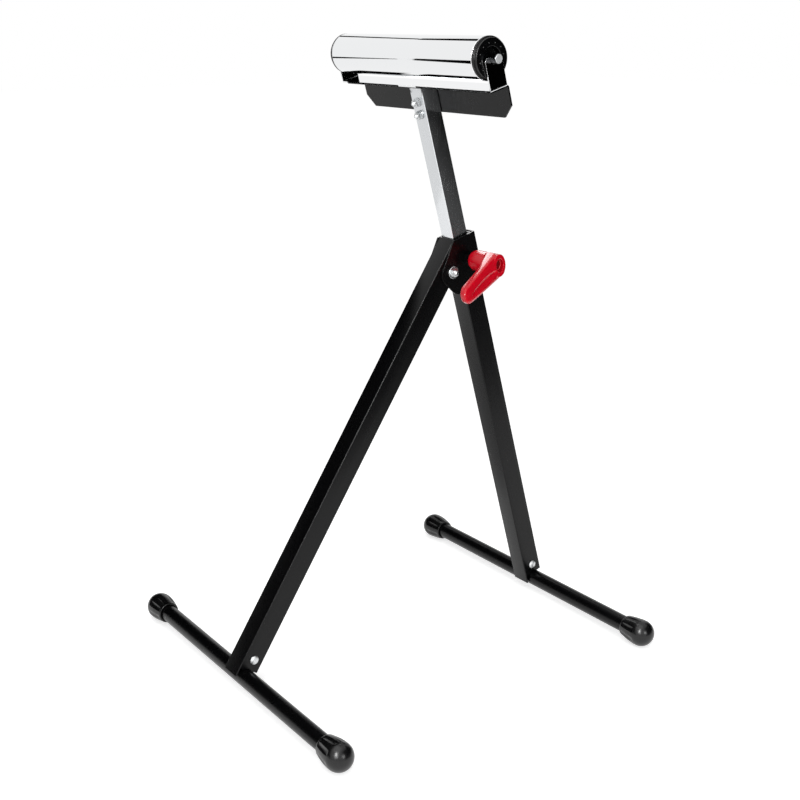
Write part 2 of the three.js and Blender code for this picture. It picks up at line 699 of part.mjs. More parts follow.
function makeRoller() {
  const half = rollerLength / 2;
  const tube = ring(rollerDiameter, rollerDiameter - 2 * rollerWall, -half, half, 'x', [0, 0], fine);
  const pieces = [piece('roller_tube', tube, chrome), makeAxle()];
  [1, -1].forEach((side) => {
    const end = side > 0 ? 'right' : 'left';
    const rings = makeBearingRings(side);
    pieces.push(piece(`roller_end_cap_${end}`, makeEndCap(side), blackPlastic));
    pieces.push(piece(`bearing_outer_${end}`, rings.outer, bearingSteel));
    pieces.push(piece(`bearing_inner_${end}`, rings.inner, bearingSteel));
  });
  return pieces;
}

// The stand: both legs leaning on the hinge, with the post and the roller in line with the rear leg
const stand = new THREE.Group();

const rearFrame = new THREE.Group();
rearFrame.position.set(0, footSpread / 2, barHeight);
rearFrame.rotation.x = rearLean;
rearFrame.add(makeRearLeg(), makeHubBracket(), makeClampNut(), ...makePivotSet(), ...makeFoot('rear'));
rearFrame.add(makePost(), makePostPlug(), makeHeadPlate(), makeYoke(), ...makeHeadBolts());

const clamp = new THREE.Group();
clamp.position.z = clampHeight;
clamp.add(...makeClamp());
rearFrame.add(clamp);

const roller = new THREE.Group();
roller.position.set(0, rollerAxis.y, rollerAxis.z);
roller.add(...makeRoller());
rearFrame.add(roller);

const frontFrame = new THREE.Group();
frontFrame.position.set(0, -footSpread / 2, barHeight);
frontFrame.rotation.x = -frontLean;
frontFrame.add(makeFrontLeg(), makePivotSleeve(), ...makeFoot('front'));

stand.add(rearFrame, frontFrame);

export default stand;
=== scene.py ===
# Folding roller stand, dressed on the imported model. Metres, +Z up, the roller runs along X.
import json
import math
import bpy
from mathutils import Matrix, Vector


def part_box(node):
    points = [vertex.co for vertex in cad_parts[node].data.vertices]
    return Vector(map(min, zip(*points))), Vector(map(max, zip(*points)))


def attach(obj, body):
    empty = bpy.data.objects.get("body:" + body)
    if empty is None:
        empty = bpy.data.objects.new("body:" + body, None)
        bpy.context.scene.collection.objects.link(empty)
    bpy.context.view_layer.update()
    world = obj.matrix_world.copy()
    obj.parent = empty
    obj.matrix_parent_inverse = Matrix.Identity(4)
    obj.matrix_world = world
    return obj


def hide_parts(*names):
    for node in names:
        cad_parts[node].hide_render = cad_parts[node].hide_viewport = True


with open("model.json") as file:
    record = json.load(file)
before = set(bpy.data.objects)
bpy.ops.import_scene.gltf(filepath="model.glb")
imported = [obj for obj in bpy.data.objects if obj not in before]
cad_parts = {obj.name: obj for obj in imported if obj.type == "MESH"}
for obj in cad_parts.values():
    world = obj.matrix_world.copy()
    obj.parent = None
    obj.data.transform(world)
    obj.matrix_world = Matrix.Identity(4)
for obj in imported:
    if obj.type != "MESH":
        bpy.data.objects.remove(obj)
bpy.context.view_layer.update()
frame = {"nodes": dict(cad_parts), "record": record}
mm = 0.001

behaviour = frame["record"]["behaviour"]
joints = {joint["name"]: joint for joint in behaviour["joints"]}
bodyOf = {node: body for body, nodes in behaviour["bodies"].items() for node in nodes}


# Places: each leg has its own frame, with the origin on the axis of its foot bar and Z up along the leg
def middleOf(node):
    low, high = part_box(node)
    return (Vector(low) + Vector(high)) / 2


pivotOffset = 7.4  # mm, hinge bolt behind the axis of the front leg
slideAxis = Vector(joints["post_slide"]["axis"])
rearLean = math.atan2(-slideAxis.y, slideAxis.z)
rearFrame = Matrix.Translation(middleOf("rear_foot_bar")) @ Matrix.Rotation(rearLean, 4, "X")
toPivot = Vector(joints["front_leg_fold"]["pos_m"]) - middleOf("front_foot_bar")
frontLean = math.atan2(toPivot.y, toPivot.z) - math.asin(pivotOffset * mm / math.hypot(toPivot.y, toPivot.z))
frontFrame = Matrix.Translation(middleOf("front_foot_bar")) @ Matrix.Rotation(-frontLean, 4, "X")

turns = {
    "right": Matrix.Rotation(math.radians(90), 4, "Y"),
    "left": Matrix.Rotation(math.radians(-90), 4, "Y"),
    "front": Matrix.Rotation(math.radians(90), 4, "X"),
    "back": Matrix.Rotation(math.radians(-90), 4, "X"),
}


def spanIn(base, node):  # lowest and highest corner of a node in a leg's frame, mm
    back = base.inverted()
    points = [back @ vertex.co / mm for vertex in frame["nodes"][node].data.vertices]
    low = Vector(min(point[i] for point in points) for i in range(3))
    high = Vector(max(point[i] for point in points) for i in range(3))
    return low, high


def crossMiddle(low, high):  # middle of a span, seen along X
    return (low.y + high.y) / 2, (low.z + high.z) / 2


# Materials
def colour(code):  # sRGB hex to linear
    parts = [int(code[i:i + 2], 16) / 255 for i in (1, 3, 5)]
    linear = [p / 12.92 if p <= 0.04045 else ((p + 0.055) / 1.055) ** 2.4 for p in parts]
    return (*linear, 1.0)


def addNode(tree, kind, values=None, links=None, **settings):
    node = tree.nodes.new("ShaderNode" + kind)
    for key, value in settings.items():
        setattr(node, key, value)
    for socket, value in (values or {}).items():
        node.inputs[socket].default_value = value
    for socket, source in (links or {}).items():
        tree.links.new(source, node.inputs[socket])
    return node


def startMaterial(name, baseColour, metallic, specular=0.5):
    material = bpy.data.materials.new(name)
    material.use_nodes = True
    tree = material.node_tree
    shader = tree.nodes["Principled BSDF"]
    shader.inputs["Base Color"].default_value = colour(baseColour)
    shader.inputs["Metallic"].default_value = metallic
    shader.inputs["Specular IOR Level"].default_value = specular
    place = addNode(tree, "TexCoord").outputs["Object"]
    return material, tree, shader, place


def noiseAt(size):  # noise scale for a feature of that many mm, on metres
    return 1 / (size * mm)


# Powder coat: sprayed and baked, near black, a satin gloss broken by a fine orange peel
def makePowderCoat():
    look = {"colour": "#050506", "specular": 0.22, "gloss": (0.22, 0.32), "drift": 45,
            "peel": 1.6, "peelStrength": 0.1, "peelDepth": 0.1,
            "grain": 0.45, "grainStrength": 0.06, "grainDepth": 0.05}  # sizes in mm
    material, tree, shader, place = startMaterial("blackPowderCoat", look["colour"], 0, look["specular"])
    drift = addNode(tree, "TexNoise", {"Scale": noiseAt(look["drift"]), "Detail": 3}, {"Vector": place})
    gloss = addNode(tree, "MapRange", {"To Min": look["gloss"][0], "To Max": look["gloss"][1]},
                    {"Value": drift.outputs["Fac"]})
    tree.links.new(gloss.outputs["Result"], shader.inputs["Roughness"])
    peel = addNode(tree, "TexNoise", {"Scale": noiseAt(look["peel"]), "Detail": 1}, {"Vector": place})
    grain = addNode(tree, "TexNoise", {"Scale": noiseAt(look["grain"]), "Detail": 2}, {"Vector": place})
    rough = addNode(tree, "Bump", {"Strength": look["grainStrength"], "Distance": look["grainDepth"] * mm},
                    {"Height": grain.outputs["Fac"]})
    bump = addNode(tree, "Bump", {"Strength": look["peelStrength"], "Distance": look["peelDepth"] * mm},
                   {"Height": peel.outputs["Fac"], "Normal": rough.outputs["Normal"]})
    tree.links.new(bump.outputs["Normal"], shader.inputs["Normal"])
    return material


# Chrome plate on drawn steel: a mirror with long faint lines left by the drawing and a few dull smears
def makeChrome(name, tone, turn, lineWidth, lineLength, gloss, depth):
    smear = {"size": 35, "from": 0.15, "to": 0.42}
    material, tree, shader, place = startMaterial(name, tone, 1)
    along = addNode(tree, "Mapping", {"Rotation": turn}, {"Vector": place})
    stretch = addNode(tree, "Mapping", {"Scale": (lineWidth / lineLength, 1, 1)},
                      {"Vector": along.outputs["Vector"]})
    lines = addNode(tree, "TexNoise", {"Scale": noiseAt(lineWidth), "Detail": 3, "Roughness": 0.6},
                    {"Vector": stretch.outputs["Vector"]})
    smears = addNode(tree, "TexNoise", {"Scale": noiseAt(smear["size"]), "Detail": 4}, {"Vector": place})
    both = addNode(tree, "Math", {}, {0: lines.outputs["Fac"], 1: smears.outputs["Fac"]},
                   operation="MULTIPLY")
    dull = addNode(tree, "MapRange", {"From Min": smear["from"], "From Max": smear["to"],
                                      "To Min": gloss[0], "To Max": gloss[1]},
                   {"Value": both.outputs["Value"]})
    tree.links.new(dull.outputs["Result"], shader.inputs["Roughness"])
    bump = addNode(tree, "Bump", {"Strength": 0.15, "Distance": depth * mm}, {"Height": lines.outputs["Fac"]})
    tree.links.new(bump.outputs["Normal"], shader.inputs["Normal"])
    return material


# Bright zinc plate: a paler, softer metal, slightly clouded and scuffed
def makeZinc(name, tone, roughest):
    look = {"cloud": 3, "smoothest": 0.4 * roughest, "scuff": 0.7, "scuffStrength": 0.2, "scuffDepth": 0.06}
    material, tree, shader, place = startMaterial(name, tone, 1)
    cloud = addNode(tree, "TexNoise", {"Scale": noiseAt(look["cloud"]), "Detail": 4}, {"Vector": place})
    gloss = addNode(tree, "MapRange", {"To Min": look["smoothest"], "To Max": roughest},
                    {"Value": cloud.outputs["Fac"]})
    tree.links.new(gloss.outputs["Result"], shader.inputs["Roughness"])
    scuff = addNode(tree, "TexNoise", {"Scale": noiseAt(look["scuff"]), "Detail": 2}, {"Vector": place})
    bump = addNode(tree, "Bump", {"Strength": look["scuffStrength"], "Distance": look["scuffDepth"] * mm},
                   {"Height": scuff.outputs["Fac"]})
    tree.links.new(bump.outputs["Normal"], shader.inputs["Normal"])
    return material


# Moulded black polymers: rubber and ABS, both satin with a fine sparked texture, the ABS blacker and glossier
def makeMoulded(name, baseColour, gloss, grain, depth, specular):
    driftSize, sparkStrength = 14, 0.25
    material, tree, shader, place = startMaterial(name, baseColour, 0, specular)
    drift = addNode(tree, "TexNoise", {"Scale": noiseAt(driftSize), "Detail": 3}, {"Vector": place})
    dull = addNode(tree, "MapRange", {"To Min": gloss[0], "To Max": gloss[1]},
                   {"Value": drift.outputs["Fac"]})
    tree.links.new(dull.outputs["Result"], shader.inputs["Roughness"])
    spark = addNode(tree, "TexNoise", {"Scale": noiseAt(grain), "Detail": 2}, {"Vector": place})
    bump = addNode(tree, "Bump", {"Strength": sparkStrength, "Distance": depth * mm},
                   {"Height": spark.outputs["Fac"]})
    tree.links.new(bump.outputs["Normal"], shader.inputs["Normal"])
    return material


# Red nylon: pigmented and moulded glossy, with flow clouds in the colour, a faint ripple in the shine and
# painted shade, a darker red painted into the colour down in the hollow end of the hub where shade falls
def makeRedNylon():
    look = {"light": "#e60122", "deep": "#d0001c", "specular": 0.4, "gloss": (0.16, 0.26), "cloud": 11,
            "ripple": 4, "rippleStrength": 0.1, "rippleDepth": 0.1,
            "hollow": "#5c0006", "hollowShare": 0.85, "hollowRadius": (7, 8), "hollowFloor": (81, 85)}  # mm
    material, tree, shader, place = startMaterial("redNylon", look["light"], 0, look["specular"])
    cloud = addNode(tree, "TexNoise", {"Scale": noiseAt(look["cloud"]), "Detail": 3}, {"Vector": place})
    tint = addNode(tree, "Mix", {"A": colour(look["light"]), "B": colour(look["deep"])},
                   {"Factor": cloud.outputs["Fac"]}, data_type="RGBA")
    # painted shade: inside the hollow end of the hub, round the stud's axis and below the rim, a dark red is
    # mixed into the colour in place of the shade there
    low, high = (Vector(corner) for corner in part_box("clamp_stud"))
    middle = (low + high) / 2
    across = addNode(tree, "VectorMath", {1: (0, 1, 1)}, {0: place}, operation="MULTIPLY")
    away = addNode(tree, "VectorMath", {1: (0, middle.y, middle.z)}, {0: across.outputs["Vector"]},
                   operation="DISTANCE")
    radii = [radius * mm for radius in look["hollowRadius"]]
    inside = addNode(tree, "MapRange", {"From Min": radii[0], "From Max": radii[1],
                                        "To Min": look["hollowShare"], "To Max": 0.0},
                     {"Value": away.outputs["Value"]})
    axes = addNode(tree, "SeparateXYZ", {}, {"Vector": place})
    floors = [reach * mm for reach in look["hollowFloor"]]
    down = addNode(tree, "MapRange", {"From Min": floors[0], "From Max": floors[1],
                                      "To Min": 1.0, "To Max": 0.0},
                   {"Value": axes.outputs["X"]})
    hollow = addNode(tree, "Math", {}, {0: inside.outputs["Result"], 1: down.outputs["Result"]},
                     operation="MULTIPLY")
    shade = addNode(tree, "Mix", {"B": colour(look["hollow"])},
                    {"A": tint.outputs["Result"], "Factor": hollow.outputs["Value"]}, data_type="RGBA")
    tree.links.new(shade.outputs["Result"], shader.inputs["Base Color"])
    gloss = addNode(tree, "MapRange", {"To Min": look["gloss"][0], "To Max": look["gloss"][1]},
                    {"Value": cloud.outputs["Fac"]})
    tree.links.new(gloss.outputs["Result"], shader.inputs["Roughness"])
    ripple = addNode(tree, "TexNoise", {"Scale": noiseAt(look["ripple"]), "Detail": 1}, {"Vector": place})
    bump = addNode(tree, "Bump", {"Strength": look["rippleStrength"], "Distance": look["rippleDepth"] * mm},
                   {"Height": ripple.outputs["Fac"]})
    tree.links.new(bump.outputs["Normal"], shader.inputs["Normal"])
    return material


# Turned metal: fine rings are too small to show, so a short clouding stands for them
def makeTurned(name, baseColour):
    look = {"cloud": 1.2, "gloss": (0.2, 0.36), "strength": 0.1, "depth": 0.04}
    material, tree, shader, place = startMaterial(name, baseColour, 1)
    cloud = addNode(tree, "TexNoise", {"Scale": noiseAt(look["cloud"]), "Detail": 3}, {"Vector": place})
    gloss = addNode(tree, "MapRange", {"To Min": look["gloss"][0], "To Max": look["gloss"][1]},
                    {"Value": cloud.outputs["Fac"]})
    tree.links.new(gloss.outputs["Result"], shader.inputs["Roughness"])
    bump = addNode(tree, "Bump", {"Strength": look["strength"], "Distance": look["depth"] * mm},
                   {"Height": cloud.outputs["Fac"]})
    tree.links.new(bump.outputs["Normal"], shader.inputs["Normal"])
    return material


# Axle steel: a dark oiled bar, bright and dull where it is cut off
def makeAxleSteel(cutEnd):
    look = {"bar": "#3a3b3d", "cut": "#dcdedf", "fadeFrom": 0.5, "fadeTo": 0.2, "cloud": 2,
            "smoothest": 0.1, "cloudDull": 0.2, "cutDull": 0.4}
    material, tree, shader, place = startMaterial("oiledAxleSteel", look["bar"], 1)
    axes = addNode(tree, "SeparateXYZ", {}, {"Vector": place})
    reach = addNode(tree, "Math", {}, {0: axes.outputs["X"]}, operation="ABSOLUTE")
    sawn = addNode(tree, "MapRange", {"From Min": (cutEnd - look["fadeFrom"]) * mm,
                                      "From Max": (cutEnd - look["fadeTo"]) * mm},
                   {"Value": reach.outputs["Value"]}).outputs["Result"]
    tint = addNode(tree, "Mix", {"A": colour(look["bar"]), "B": colour(look["cut"])}, {"Factor": sawn},
                   data_type="RGBA")
    tree.links.new(tint.outputs["Result"], shader.inputs["Base Color"])
    cloud = addNode(tree, "TexNoise", {"Scale": noiseAt(look["cloud"]), "Detail": 3}, {"Vector": place})
    dull = addNode(tree, "Math", {1: look["cutDull"], 2: look["smoothest"]}, {0: sawn},
                   operation="MULTIPLY_ADD")
    gloss = addNode(tree, "Math", {1: look["cloudDull"]}, {0: cloud.outputs["Fac"], 2: dull.outputs["Value"]},
                    operation="MULTIPLY_ADD")
    tree.links.new(gloss.outputs["Value"], shader.inputs["Roughness"])
    return material


powderCoat = makePowderCoat()
rollerChrome = makeChrome("rollerChromePlate", "#ecedee", turn=(0, 0, 0), lineWidth=1.4, lineLength=60,
                          gloss=(0.02, 0.06), depth=0.008)
postTurn = (0, math.radians(90), 0)  # lines run up the post, close enough to its lean to follow it
postChrome = makeChrome("postChromePlate", "#d2d4d6", turn=postTurn, lineWidth=1.6, lineLength=90,
                        gloss=(0.1, 0.3), depth=0.08)
zincPlate = makeZinc("brightZincPlate", "#cfd1d2", roughest=0.34)
dullZinc = makeZinc("dullZincPlate", "#dcdedf", roughest=0.75)
capRubber = makeMoulded("mouldedRubber", "#0a0a0b", gloss=(0.22, 0.3), grain=0.5, depth=0.03, specular=0.45)
blackAbs = makeMoulded("mouldedAbs", "#040405", gloss=(0.2, 0.28), grain=0.4, depth=0.02, specular=0.4)
redNylon = makeRedNylon()
turnedBrass = makeTurned("turnedBrass", "#b8923f")
bearingSteel = makeTurned("groundBearingSteel", "#3c3e40")
slotLooks = {
    "black_paint": powderCoat, "chrome": postChrome, "zinc": zincPlate, "rubber": capRubber,
    "black_plastic": blackAbs, "red_plastic": redNylon, "brass": turnedBrass, "bearing_steel": bearingSteel,
}
print("materials ready")


# Modelling steps shared by the pieces
def startAlone(obj):
    bpy.ops.object.select_all(action="DESELECT")
    obj.select_set(True)
    bpy.context.view_layer.objects.active = obj


def applyModifier(obj, modifier):
    startAlone(obj)
    bpy.ops.object.modifier_apply(modifier=modifier.name)


def applyPlace(obj):  # puts an object's place, turn and scale into its mesh
    startAlone(obj)
    bpy.ops.object.transform_apply(location=True, rotation=True, scale=True)


def smoothFaces(obj, limit):  # shades faces as one surface where they meet below that angle
    startAlone(obj)
    bpy.ops.object.shade_smooth_by_angle(angle=math.radians(limit))


# Puts a piece made round the origin, with Z up, at a point of a leg's frame given in mm
def settle(obj, base, point, facing=None):
    turn = turns[facing] if facing else Matrix.Identity(4)
    obj.matrix_world = base @ Matrix.Translation(Vector(point) * mm) @ turn
    applyPlace(obj)


def dress(obj, body, slot, look, *nodes):
    obj.data.materials.clear()
    obj.data.materials.append(look)
    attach(obj, body)
    if nodes:
        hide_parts(*nodes)


def carve(obj, tool, operation="DIFFERENCE"):
    cut = obj.modifiers.new("cut", "BOOLEAN")
    cut.operation = operation
    cut.solver = "EXACT"
    cut.object = tool
    applyModifier(obj, cut)
    bpy.data.objects.remove(tool, do_unlink=True)


def roundEdges(obj, width, segments=2, limit=35):
    smoothFaces(obj, limit)
    edges = obj.modifiers.new("edges", "BEVEL")
    edges.width = width * mm
    edges.segments = segments
    edges.limit_method = "ANGLE"
    edges.angle_limit = math.radians(limit)
    edges.harden_normals = True
    applyModifier(obj, edges)


# A closed or open profile of (radius, height) in mm, drawn out ring by ring round Z
def turnProfile(name, profile, segments=64, closed=False, smooth=40):
    bpy.ops.object.select_all(action="DESELECT")
    radius, height = profile[0]
    bpy.ops.mesh.primitive_circle_add(vertices=segments, radius=radius * mm, location=(0, 0, height * mm))
    obj = bpy.context.object
    obj.name = name
    bpy.ops.object.transform_apply(location=True)
    bpy.ops.object.mode_set(mode="EDIT")
    bpy.ops.mesh.select_all(action="SELECT")
    for (r0, h0), (r1, h1) in zip(profile, profile[1:]):
        step = {"value": (0, 0, (h1 - h0) * mm)}
        bpy.ops.mesh.extrude_region_move(TRANSFORM_OT_translate=step)
        bpy.ops.transform.resize(value=(r1 / r0, r1 / r0, 1), center_override=(0, 0, h1 * mm))
    bpy.ops.mesh.select_all(action="SELECT")
    if closed:
        bpy.ops.mesh.remove_doubles(threshold=0.001 * mm)
    else:
        bpy.ops.mesh.fill_holes(sides=0)
    bpy.ops.mesh.select_all(action="SELECT")
    bpy.ops.mesh.normals_make_consistent(inside=False)
    bpy.ops.object.mode_set(mode="OBJECT")
    bpy.ops.object.shade_smooth_by_angle(angle=math.radians(smooth))
    return obj


def arc(radius, height, reach, start, end, steps):  # points of a round corner, angles in degrees
    points = []
    for i in range(steps + 1):
        angle = math.radians(start + (end - start) * i / steps)
        points.append((radius + reach * math.cos(angle), height + reach * math.sin(angle)))
    return points


def threadPoints(radius, start, end, pitch):  # crests and roots of a screw thread, as rings
    depth = 0.55 * pitch
    count = max(1, int(abs(end - start) / pitch))
    step = (end - start) / count
    points = []
    for i in range(count):
        points.append((radius - depth, start + step * i))
        points.append((radius, start + step * (i + 0.5)))
    points.append((radius - depth, end))
    return points


def copyNode(node, name):
    startAlone(frame["nodes"][node])
    bpy.ops.object.duplicate()
    copy = bpy.context.object
    copy.name = name
    for key in list(copy.keys()):
        del copy[key]
    startAlone(copy)
    bpy.ops.object.mode_set(mode="EDIT")
    bpy.ops.mesh.select_all(action="SELECT")
    bpy.ops.mesh.remove_doubles(threshold=0.002 * mm)
    bpy.ops.mesh.dissolve_limited(angle_limit=math.radians(0.4))
    bpy.ops.object.mode_set(mode="OBJECT")
    return copy


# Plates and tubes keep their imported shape, with the sheared edges broken as a deburred edge is
plates = {  # name of the piece, width of the broken edge in mm, slot and finish
    "rear_leg": ("rearLegTube", 0.35, "black_paint", powderCoat),
    "front_leg": ("frontLegTube", 0.35, "black_paint", powderCoat),
    "hub_bracket": ("hubBracketPlate", 0.5, "black_paint", powderCoat),
    "head_plate": ("headPlateSheet", 0.5, "black_paint", powderCoat),
    "yoke": ("yokeStrap", 0.45, "chrome", rollerChrome),
    "post_tube": ("postTube", 0.3, "chrome", postChrome),
}
for node, (name, width, slot, look) in plates.items():
    plate = copyNode(node, name)
    roundEdges(plate, width)
    dress(plate, bodyOf[node], slot, look, node)
print("plates and tubes done")


# Roller: a plated tube, two stepped end plugs and a bearing in each
roller = {"radius": 26.5, "wall": 2, "edge": 0.5, "segments": 128}
rollerLow, rollerHigh = spanIn(rearFrame, "roller_tube")
rollerMiddle = (rollerLow + rollerHigh) / 2
halfRoller = (rollerHigh.x - rollerLow.x) / 2
rollerEnds = {
    "right": rollerMiddle + Vector((halfRoller, 0, 0)),
    "left": rollerMiddle - Vector((halfRoller, 0, 0)),
}


def makeRollerTube():
    outer, wall, edge = roller["radius"], roller["wall"], roller["edge"]
    inner = outer - wall
    profile = [(inner, -halfRoller + edge), (inner + edge, -halfRoller)]
    profile += arc(outer - edge, -halfRoller + edge, edge, -90, 0, 3)
    holding = halfRoller - 2 * edge  # rings close to the ends keep the reflections straight
    profile += [(outer, i * holding / 4) for i in range(-4, 5)]
    profile += arc(outer - edge, halfRoller - edge, edge, 0, 90, 3)
    profile += [(inner + edge, halfRoller), (inner, halfRoller - edge), (inner, -halfRoller + edge)]
    tube = turnProfile("rollerTube", profile, roller["segments"], closed=True)
    settle(tube, rearFrame, rollerMiddle, "right")
    dress(tube, bodyOf["roller_tube"], "chrome", rollerChrome, "roller_tube")


# End plug: a rim against the tube, a step, and a ring of dimples round the bearing
endPlug = {"proud": 7, "rim": 3.4, "step": 1.9, "plug": 14, "lead": 1, "seat": 14.3, "shoulder": 11.3,
           "edge": 0.9, "corner": 0.3, "seam": 0.3, "dimples": 12, "dimpleRadius": 1.5, "dimpleDepth": 1.6,
           "dimpleCircle": 18.8}
bearingSize = {"inner": 6.3, "innerWall": 2.4, "outer": 14, "outerWall": 2.7, "width": 8, "edge": 0.4,
               "mouthEdge": 0.6, "shield": 0.8, "shieldSunk": 0.5, "shieldGap": 0.3}


def makeEndPlug(name):
    p = endPlug
    outer = roller["radius"]
    plugRadius = outer - roller["wall"] - p["seam"]
    stepped = outer - p["step"]
    edge, corner, lead = p["edge"], p["corner"], p["lead"]
    seatFloor = -bearingSize["width"] - p["seam"]
    profile = [(p["shoulder"], -p["plug"]), (plugRadius - lead, -p["plug"]), (plugRadius, lead - p["plug"])]
    profile += [(plugRadius, p["seam"]), (outer - corner, p["seam"]), (outer, p["seam"] + corner)]
    profile += arc(outer - edge, p["rim"] - edge, edge, 0, 90, 4)
    profile += [(stepped + corner, p["rim"]), (stepped, p["rim"] + corner)]
    profile += arc(stepped - edge, p["proud"] - edge, edge, 0, 90, 4)
    profile += arc(p["seat"] + edge, p["proud"] - edge, edge, 90, 180, 4)
    profile += [(p["seat"], seatFloor), (p["shoulder"], seatFloor), (p["shoulder"], -p["plug"])]
    plug = turnProfile(name, profile, 96, closed=True)
    bpy.ops.object.select_all(action="DESELECT")
    dimpleTool = None
    circle = p["dimpleCircle"] * mm
    for i in range(p["dimples"]):
        angle = 2 * math.pi * i / p["dimples"]
        place = (circle * math.cos(angle), circle * math.sin(angle), p["proud"] * mm)
        bpy.ops.mesh.primitive_uv_sphere_add(segments=20, ring_count=12, radius=p["dimpleRadius"] * mm,
                                             location=place)
        ball = bpy.context.object
        ball.scale.z = p["dimpleDepth"] / p["dimpleRadius"]
        if dimpleTool is None:
            dimpleTool = ball
            continue
        startAlone(dimpleTool)
        ball.select_set(True)
        bpy.ops.object.join()
    applyPlace(dimpleTool)
    carve(plug, dimpleTool)
    smoothFaces(plug, 40)
    return plug


def makeBearing(end):
    b = bearingSize
    inner, outer, edge, shield = b["inner"], b["outer"], b["edge"], b["shield"]
    innerOut = inner + b["innerWall"]
    outerIn = outer - b["outerWall"]
    lip = innerOut + b["shieldGap"]
    low, high = -b["width"], 0
    sunk = high - b["shieldSunk"]
    race = [(lip, low), (outer - edge, low), (outer, low + edge), (outer, high - edge), (outer - edge, high),
            (outerIn + b["mouthEdge"], high), (outerIn, sunk), (lip, sunk), (lip, sunk - shield),
            (outerIn, sunk - shield), (outerIn, low + shield), (lip, low + shield), (lip, low)]
    hoop = [(inner + edge, low), (innerOut - edge, low), (innerOut, low + edge), (innerOut, high - edge),
            (innerOut - edge, high), (inner + edge, high), (inner, high - edge), (inner, low + edge),
            (inner + edge, low)]
    for part, profile in (("outer", race), ("inner", hoop)):
        node = f"bearing_{part}_{end}"
        ringPiece = turnProfile(f"bearing{part.title()}{end.title()}", profile, 64, closed=True, smooth=25)
        settle(ringPiece, rearFrame, rollerEnds[end], end)
        dress(ringPiece, bodyOf[node], "bearing_steel", bearingSteel, node)


def makeRollerEnds():
    first = makeEndPlug("rollerEndPlugRight")
    startAlone(first)
    bpy.ops.object.duplicate()
    second = bpy.context.object
    second.name = "rollerEndPlugLeft"
    for obj, end in ((first, "right"), (second, "left")):
        settle(obj, rearFrame, rollerEnds[end], end)
        node = f"roller_end_cap_{end}"
        dress(obj, bodyOf[node], "black_plastic", blackAbs, node)
        makeBearing(end)


# Axle: a bar with chamfered ends, and two flats at each end where it drops into the slot of the ear
axle = {"radius": 6, "flats": 10, "chamfer": 1, "flatSpan": 2.6, "flatPlay": 0.3}


def makeAxle():
    low, high = spanIn(rearFrame, "roller_axle")
    end = (high.x - low.x) / 2
    radius, chamfer, flats, span = axle["radius"], axle["chamfer"], axle["flats"], axle["flatSpan"]
    profile = [(radius - chamfer, -end), (radius, chamfer - end), (radius, end - chamfer),
               (radius - chamfer, end)]
    bar = turnProfile("rollerAxleBar", profile, 64, smooth=30)
    settle(bar, rearFrame, rollerMiddle, "right")
    earOuter = spanIn(rearFrame, "yoke")[1].x
    for side in (-1, 1):
        for face in (-1, 1):
            place = (side * (earOuter - span / 2 + axle["flatPlay"]), rollerMiddle.y + face * flats,
                     rollerMiddle.z)
            bpy.ops.object.select_all(action="DESELECT")
            bpy.ops.mesh.primitive_cube_add(size=flats * mm)
            slab = bpy.context.object
            slab.scale = (span / flats, 1, 2)
            applyPlace(slab)
            settle(slab, rearFrame, place)
            carve(bar, slab)
    smoothFaces(bar, 30)
    dress(bar, bodyOf["roller_axle"], "zinc", makeAxleSteel(end), "roller_axle")


makeRollerTube()
makeRollerEnds()
makeAxle()
print("roller done")


# Feet: a round bar and two bulb caps, with round-ended flutes pressed in near the mouth
footBar = {"radius": 12, "wall": 1.5, "edge": 0.4}
footCap = {"radius": 19.25, "length": 48, "mouth": 15.1, "bore": 12.3, "grip": 32, "lip": 0.8,
           "flutes": 8, "fluteDepth": 1.5, "fluteStart": 2, "fluteLength": 27, "fluteShape": 0.6,
           "swellSteps": 44, "segments": 128}


def makeFootBar(side, base):
    node = f"{side}_foot_bar"
    low, high = spanIn(base, node)
    half = (high.x - low.x) / 2
    outer, edge = footBar["radius"], footBar["edge"]
    inner = outer - footBar["wall"]
    profile = [(inner, -half), (outer - edge, -half), (outer, edge - half)]
    profile += [(outer, half * i / 3) for i in (-2, -1, 0, 1, 2)]
    profile += [(outer, half - edge), (outer - edge, half), (inner, half), (inner, -half)]
    bar = turnProfile(f"{side}FootBar", profile, 96, closed=True)
    settle(bar, base, (0, 0, 0), "right")
    dress(bar, bodyOf[node], "black_paint", powderCoat, node)


def makeFootCap():
    c = footCap
    straight = c["length"] - c["radius"]
    profile = [(0.2, c["grip"]), (c["bore"], c["grip"]), (c["bore"], c["lip"])]
    profile += arc(c["bore"] + c["lip"], c["lip"], c["lip"], 180, 270, 3)
    profile += arc(c["mouth"] - c["lip"], c["lip"], c["lip"], -90, 0, 3)
    for i in range(2, c["swellSteps"] + 1):
        t = i / c["swellSteps"]
        swell = math.sin(t * math.pi / 2)
        profile.append((c["mouth"] + (c["radius"] - c["mouth"]) * swell, straight * t))
    profile += arc(0, straight, c["radius"], 4, 88, 21)
    cap = turnProfile("footCap", profile, c["segments"], smooth=50)
    # the flutes: points near the mouth move in towards the axis, most in the middle of each flute
    skin = c["mouth"] - 0.2  # points nearer the axis line the bore and stay
    for vertex in cap.data.vertices:
        reach = math.hypot(vertex.co.x, vertex.co.y) / mm
        along = (vertex.co.z / mm - c["fluteStart"]) / c["fluteLength"]
        if reach < skin or not 0 < along < 1:
            continue
        angle = math.atan2(vertex.co.y, vertex.co.x) * c["flutes"]
        across = max(0, math.cos(angle)) ** c["fluteShape"]
        ends = math.sin(along * math.pi) ** c["fluteShape"]
        shrink = 1 - c["fluteDepth"] * across * ends / reach
        vertex.co.x *= shrink
        vertex.co.y *= shrink
    return cap


